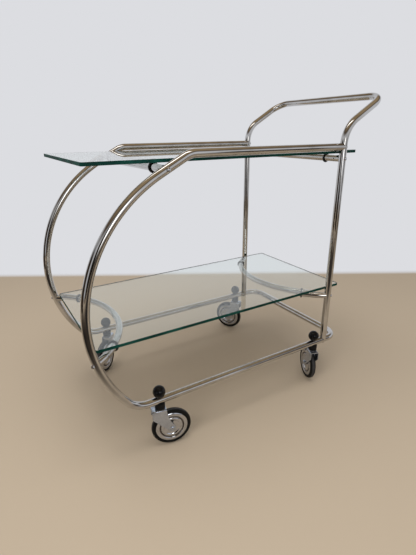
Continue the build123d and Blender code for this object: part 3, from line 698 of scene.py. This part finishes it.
joints = {joint["name"]: joint for joint in frame["joints"]}
ballNut = {"Ball": 33, "Neck": 14}
ballSink = 1.5  # the balls are saddled on the rail by this much
ballHeight = baseHeight + tubeRadius - ballSink + ballNut["Ball"] / 2
ballPlaces, ballNodes = [], []
for place in ("front_left", "rear_left", "front_right", "rear_right"):
    stem = Vector(joints[place + "_swivel_turn"]["pos_m"]) / mm
    hub = Vector(joints[place + "_wheel_spin"]["pos_m"]) / mm
    axis = Vector(joints[place + "_wheel_spin"]["axis"])
    tag = "".join(word.capitalize() for word in place.split("_"))
    ballPlaces.append((Vector((stem.x, stem.y, ballHeight)), Vector((0, 0, 1))))
    ballNodes.append(place + "_ball_knob")

    housing = latheMesh("stemHousing" + tag, collarProfile, (stem.x, stem.y, 0), (0, 0, 1), blackNylon,
                        sides=collar["sides"])
    settle(housing, "trolley_frame", "black_housing", place + "_stem_housing")
    settle(pressFork("fork" + tag, place + "_fork"), place + "_swivel", "fork_plate", place + "_fork")
    axle = latheMesh("axle" + tag, axleProfile, hub, axis, zincPlate, sides=axlePin["sides"])
    settle(axle, place + "_swivel", "fork_plate", place + "_axle")
    settle(mouldTyre("tyre" + tag, hub, axis), place + "_wheel", "tyre_rubber", place + "_tyre")
    settle(pressHubcaps("hubcaps" + tag, hub, axis), place + "_wheel", "cap_chrome", place + "_hubcaps")

# Ball nuts over the rail: a ball on a short neck
ballTree, ballInputs, given = startScatter("ballNut", ("Ball", "Neck"))
halved = addNode(ballTree, "ShaderNodeMath", {"operation": "MULTIPLY", 1: 0.5}, {0: given.outputs["Ball"]})
globe = addNode(ballTree, "GeometryNodeMeshUVSphere", {"Segments": 64, "Rings": 40}, {
    "Radius": halved.outputs[0]})
slim = addNode(ballTree, "ShaderNodeMath", {"operation": "MULTIPLY", 1: 0.5}, {0: given.outputs["Neck"]})
shank = addNode(ballTree, "GeometryNodeMeshCylinder", {"Vertices": 40}, {
    "Radius": slim.outputs[0], "Depth": halved.outputs[0]})
# The neck's middle lies this share of the ball's size under the ball's
drop = addNode(ballTree, "ShaderNodeMath", {"operation": "MULTIPLY", 1: -0.62}, {0: given.outputs["Ball"]})
down = addNode(ballTree, "ShaderNodeCombineXYZ", links={"Z": drop.outputs[0]})
neck = addNode(ballTree, "GeometryNodeTransform", links={
    "Geometry": shank.outputs["Mesh"], "Translation": down.outputs[0]})
joinedBall = addNode(ballTree, "GeometryNodeJoinGeometry")
ballTree.links.new(globe.outputs["Mesh"], joinedBall.inputs[0])
ballTree.links.new(neck.outputs["Geometry"], joinedBall.inputs[0])
endScatter(ballTree, given, joinedBall.outputs[0])
balls = scatter("ballNuts", ballTree, ballInputs, ballNut, ballPlaces, blackPhenolic, crisp=60)
settle(balls, "trolley_frame", "black_knob", *ballNodes)
print("casters fitted")

# Solids that stay as they are, mostly out of sight, get their real finish
keptFinish = {"sleeve": turnedSteel, "plugs": turnedSteel, "stem": turnedSteel, "race": turnedSteel,
              "bush": turnedSteel, "core": blackNylon}
for name, node in frame["nodes"].items():
    for ending, finish in keptFinish.items():
        if name.endswith(ending):
            node.data.materials.clear()
            node.data.materials.append(finish)


def wayOf(bearing):  # level, in degrees from +Y towards +X
    return Vector((sin(radians(bearing)), cos(radians(bearing)), 0))


# Camera, fitted to the photograph
view = {"spot": (-0.602, -0.9905, 0.7873), "bearing": 31.016, "pitch": 20.712, "roll": -0.507, "lens": 25.22,
        "sensor": 36}
lookWay = wayOf(view["bearing"])
pitch = radians(view["pitch"])
roll = radians(view["roll"])
ahead = lookWay * cos(pitch) - Vector((0, 0, sin(pitch)))
level = Vector((lookWay.y, -lookWay.x, 0))
upright = level.cross(ahead)
right = level * cos(roll) + upright * sin(roll)
up = upright * cos(roll) - level * sin(roll)
lens = bpy.data.cameras.new("photoCamera")
lens.lens = view["lens"]
lens.sensor_width = view["sensor"]
lens.sensor_fit = "AUTO"
camera = bpy.data.objects.new("photoCamera", lens)
camera.matrix_world = Matrix.Translation(view["spot"]) @ Matrix((right, up, -ahead)).transposed().to_4x4()
bpy.context.scene.collection.objects.link(camera)
bpy.context.scene.camera = camera


def lookingRays(tree, rays):  # 1 for what the camera, the chrome and the glass see, 0 for light
    looks = rays["Is Camera Ray"]
    for kind in ("Is Glossy Ray", "Is Transmission Ray"):
        both = addNode(tree, "ShaderNodeMath", {"operation": "ADD", "use_clamp": True}, {
            0: looks, 1: rays[kind]})
        looks = both.outputs[0]
    return looks


# Stage: a plain warm floor that turns to the pale backdrop along a line behind the trolley, and far out
backdrop = "#dcdde1"
stage = {"floor": "#b8a791", "lineFrom": 0.955, "lineTo": 1.02, "farFrom": 3.0, "farTo": 4.5, "size": 14}
floorFinish, tree, shader, place = startMaterial("paleFloor", {"Roughness": 0.75})
depth = addNode(tree, "ShaderNodeVectorMath", {"operation": "DOT_PRODUCT", 1: lookWay}, {0: place})
behind = addNode(tree, "ShaderNodeMapRange", {"From Min": stage["lineFrom"], "From Max": stage["lineTo"]}, {
    "Value": depth.outputs["Value"]})
spread = addNode(tree, "ShaderNodeVectorMath", {"operation": "LENGTH"}, {0: place})
far = addNode(tree, "ShaderNodeMapRange", {"From Min": stage["farFrom"], "From Max": stage["farTo"]}, {
    "Value": spread.outputs["Value"]})
fade = addNode(tree, "ShaderNodeMath", {"operation": "MAXIMUM"}, {
    0: behind.outputs["Result"], 1: far.outputs["Result"]})
tint = addNode(tree, "ShaderNodeValToRGB", {"stops": ((0.0, stage["floor"]), (1.0, backdrop))}, {
    "Fac": fade.outputs[0]})
tree.links.new(tint.outputs["Color"], shader.inputs["Base Color"])
glow = addNode(tree, "ShaderNodeEmission", {"Color": hexColor(backdrop)})
rays = addNode(tree, "ShaderNodeLightPath").outputs
share = addNode(tree, "ShaderNodeMath", {"operation": "MULTIPLY"}, {
    0: lookingRays(tree, rays), 1: fade.outputs[0]})
mixed = addNode(tree, "ShaderNodeMixShader", links={
    0: share.outputs[0], 1: shader.outputs["BSDF"], 2: glow.outputs["Emission"]})
tree.links.new(mixed.outputs[0], tree.get_output_node("ALL").inputs["Surface"])
half = stage["size"] / 2
corners = [(-half, -half, 0), (half, -half, 0), (half, half, 0), (-half, half, 0)]
addMesh("floor", corners, [(0, 1, 2, 3)], floorFinish)


def softEdges(tree, across, edges):  # 1 inside a sheet, 0 at its edges: axis, place of 0, place of 1
    place = addNode(tree, "ShaderNodeSeparateXYZ", links={0: across})
    faded = {}
    for axis, gone, full in edges:  # each edge fades what the one before it left
        fade = addNode(tree, "ShaderNodeMapRange", {
            "interpolation_type": "SMOOTHSTEP", "From Min": gone, "From Max": full},
            {"Value": place.outputs[axis], **faded})
        faded = {"To Max": fade.outputs["Result"]}
    return fade.outputs["Result"]


# Dark felt screens, as in a studio: they show only in the chrome and glass, and set off the polish
feltLook = {"base": "#1b1816", "baseTo": 0.4, "mark": "#4b3d30", "markFrom": 0.6, "markSize": 700,
            "detail": 2.0, "edges": (("X", 0.0, 0.25), ("X", 1.0, 0.75), ("Y", 1.0, 0.6))}
darkFelt, tree, shader, place = startMaterial("darkFelt", {"Roughness": 1.0})
weave = addNode(tree, "ShaderNodeTexNoise", {
    "Scale": per(feltLook["markSize"]), "Detail": feltLook["detail"]}, {"Vector": place})
paintMarks(tree, shader, weave.outputs["Fac"], feltLook)
across = addNode(tree, "ShaderNodeTexCoord").outputs["UV"]
gone = addNode(tree, "ShaderNodeBsdfTransparent")
mixed = addNode(tree, "ShaderNodeMixShader", links={
    0: softEdges(tree, across, feltLook["edges"]), 1: gone.outputs[0], 2: shader.outputs["BSDF"]})
tree.links.new(mixed.outputs[0], tree.get_output_node("ALL").inputs["Surface"])


def addScreen(name, verts, faces, marks):  # marks: each corner's place on the sheet, across and up
    screen = addMesh(name, verts, faces, darkFelt)
    sheet = screen.data.uv_layers.new(name="sheet")
    for point in screen.data.loops:
        sheet.data[point.index].uv = marks[point.vertex_index]
    screen.visible_camera = False
    screen.visible_transmission = False
    screen.visible_diffuse = False
    screen.visible_shadow = False


screens = {
    "screenLeft": {"bearing": 275, "distance": 1.9, "width": 2.4, "height": 1.5},
    "screenBack": {"bearing": 207, "distance": 2.2, "width": 2.6, "height": 1.7},
    "screenRight": {"bearing": 142, "distance": 2.2, "width": 1.1, "height": 1.0},
}
for name, screen in screens.items():
    way = wayOf(screen["bearing"])
    side = Vector((way.y, -way.x, 0)) * screen["width"] / 2
    foot = way * screen["distance"]
    head = foot + Vector((0, 0, screen["height"]))
    addScreen(name, [foot - side, foot + side, head + side, head - side], [(0, 1, 2, 3)],
              [(0, 0), (1, 0), (1, 1), (0, 1)])
# The last screen is a mat on the floor
mat = {"bearing": 218, "near": 0.42, "middle": 0.95, "far": 2.4, "width": 4.0, "height": 0.004}
way = wayOf(mat["bearing"])
side = Vector((way.y, -way.x, 0)) * mat["width"] / 2
rows = [way * mat[key] + Vector((0, 0, mat["height"])) for key in ("near", "middle", "far")]
addScreen("screenFloor", [row + side * end for row in rows for end in (-1, 1)], [(0, 1, 3, 2), (2, 3, 5, 4)],
          [(0, 1), (1, 1), (0, 0.5), (1, 0.5), (0, 1), (1, 1)])
print("stage set")

# World: even white light, while the chrome and glass see the backdrop, then a brown band and a warm top
room = {"light": "#ffffff", "strength": 0.55, "plainFrom": 0.6, "plainTo": 0.74,
        "bands": ((0.36, backdrop), (0.56, "#5f5245"), (0.85, "#a89272"))}  # height and colour
world = bpy.data.worlds.new("studio")
bpy.context.scene.world = world
world.use_nodes = True
tree = world.node_tree
tree.nodes.clear()
soft = addNode(tree, "ShaderNodeBackground", {
    "Color": hexColor(room["light"]), "Strength": room["strength"]})
around = addNode(tree, "ShaderNodeTexCoord").outputs["Generated"]
height = addNode(tree, "ShaderNodeSeparateXYZ", links={0: around})
paint = addNode(tree, "ShaderNodeValToRGB", {"stops": room["bands"]}, {"Fac": height.outputs["Z"]})
# On the far side of the trolley it is all plain backdrop
facing = addNode(tree, "ShaderNodeVectorMath", {"operation": "DOT_PRODUCT", 1: lookWay}, {0: around})
behind = addNode(tree, "ShaderNodeMapRange", {"From Min": room["plainFrom"], "From Max": room["plainTo"]}, {
    "Value": facing.outputs["Value"]})
rays = addNode(tree, "ShaderNodeLightPath").outputs
plain = addNode(tree, "ShaderNodeMath", {"operation": "MAXIMUM"}, {
    0: behind.outputs["Result"], 1: rays["Is Camera Ray"]})
whole = addNode(tree, "ShaderNodeMix", {"data_type": "RGBA", 7: hexColor(backdrop)}, {
    "Factor": plain.outputs[0], 6: paint.outputs["Color"]})
clear = addNode(tree, "ShaderNodeBackground", links={"Color": whole.outputs[2]})
mixed = addNode(tree, "ShaderNodeMixShader", links={
    0: lookingRays(tree, rays), 1: soft.outputs[0], 2: clear.outputs[0]})
addNode(tree, "ShaderNodeOutputWorld", links={"Surface": mixed.outputs[0]})

# Two soft boxes light it, and two panels with soft edges draw the bright lines along the polished tubes
lampAim = Vector((0, 0, 0.42))
panelEdges = [(axis, gone, full) for axis in "XY" for gone, full in ((0.0, 0.4), (1.0, 0.6))]
lamps = {
    "ceiling": {"spot": (-0.3, -0.2, 2.6), "size": (2.2, 1.2), "power": 26, "mirrored": False},
    "window": {"spot": (-2.2, -1.4, 1.7), "size": (1.0, 1.6), "power": 22, "mirrored": False},
    "ceilingStrip": {"spot": (-0.3, -0.2, 2.5), "size": (2.6, 0.34), "power": 14, "mirrored": True},
    "windowStrip": {"spot": (-0.52, -1.93, 0.85), "size": (0.8, 1.1), "power": 13, "mirrored": True},
}
for name, lamp in lamps.items():
    light = bpy.data.lights.new(name, "AREA")
    light.shape = "RECTANGLE"
    light.size, light.size_y = lamp["size"]
    light.energy = lamp["power"]
    if lamp["mirrored"]:
        light.use_nodes = True
        tree = light.node_tree
        tree.nodes.clear()
        across = addNode(tree, "ShaderNodeNewGeometry").outputs["Parametric"]
        glow = addNode(tree, "ShaderNodeEmission", links={"Strength": softEdges(tree, across, panelEdges)})
        addNode(tree, "ShaderNodeOutputLight", links={"Surface": glow.outputs[0]})
    stand = bpy.data.objects.new(name, light)
    stand.location = lamp["spot"]
    stand.rotation_euler = (lampAim - stand.location).to_track_quat("-Z", "Y").to_euler()
    stand.visible_glossy = lamp["mirrored"]
    stand.visible_transmission = lamp["mirrored"]
    bpy.context.scene.collection.objects.link(stand)
bpy.context.scene.view_settings.view_transform = "Standard"
print("lamps lit")

bpy.context.view_layer.update()
